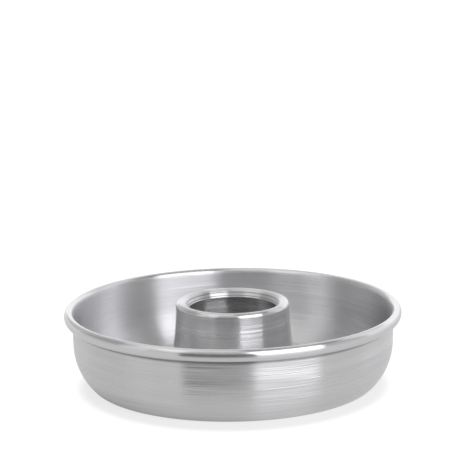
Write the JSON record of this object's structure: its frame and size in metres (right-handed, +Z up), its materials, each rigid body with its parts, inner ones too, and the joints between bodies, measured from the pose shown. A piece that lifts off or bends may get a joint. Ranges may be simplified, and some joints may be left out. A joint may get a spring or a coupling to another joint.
{
  "type": "tube pan",
  "caption": "Round ring mould in satin aluminium sheet: rounded base corner, low drafted wall with a curled rim bead, and an open centre tube lock-seamed to the floor.",
  "frame": {"origin": "centre of the pan, on the plane that its floor rests on", "axes": "+Z up along the pan's axis, from the floor to the rim; the pan is round, so +X and +Y are any two directions across it"},
  "size_m": [0.254, 0.254, 0.0614],
  "materials": {
    "pan_aluminium": "satin, brushed round the axis, rim bead polished by the curling tool",
    "tube_aluminium": "satin, brushed round the axis, shoulder polished"
  },
  "bodies": {
    "root": {"pan_body": "pan_aluminium", "centre_tube": "tube_aluminium"}
  },
  "joints": []
}
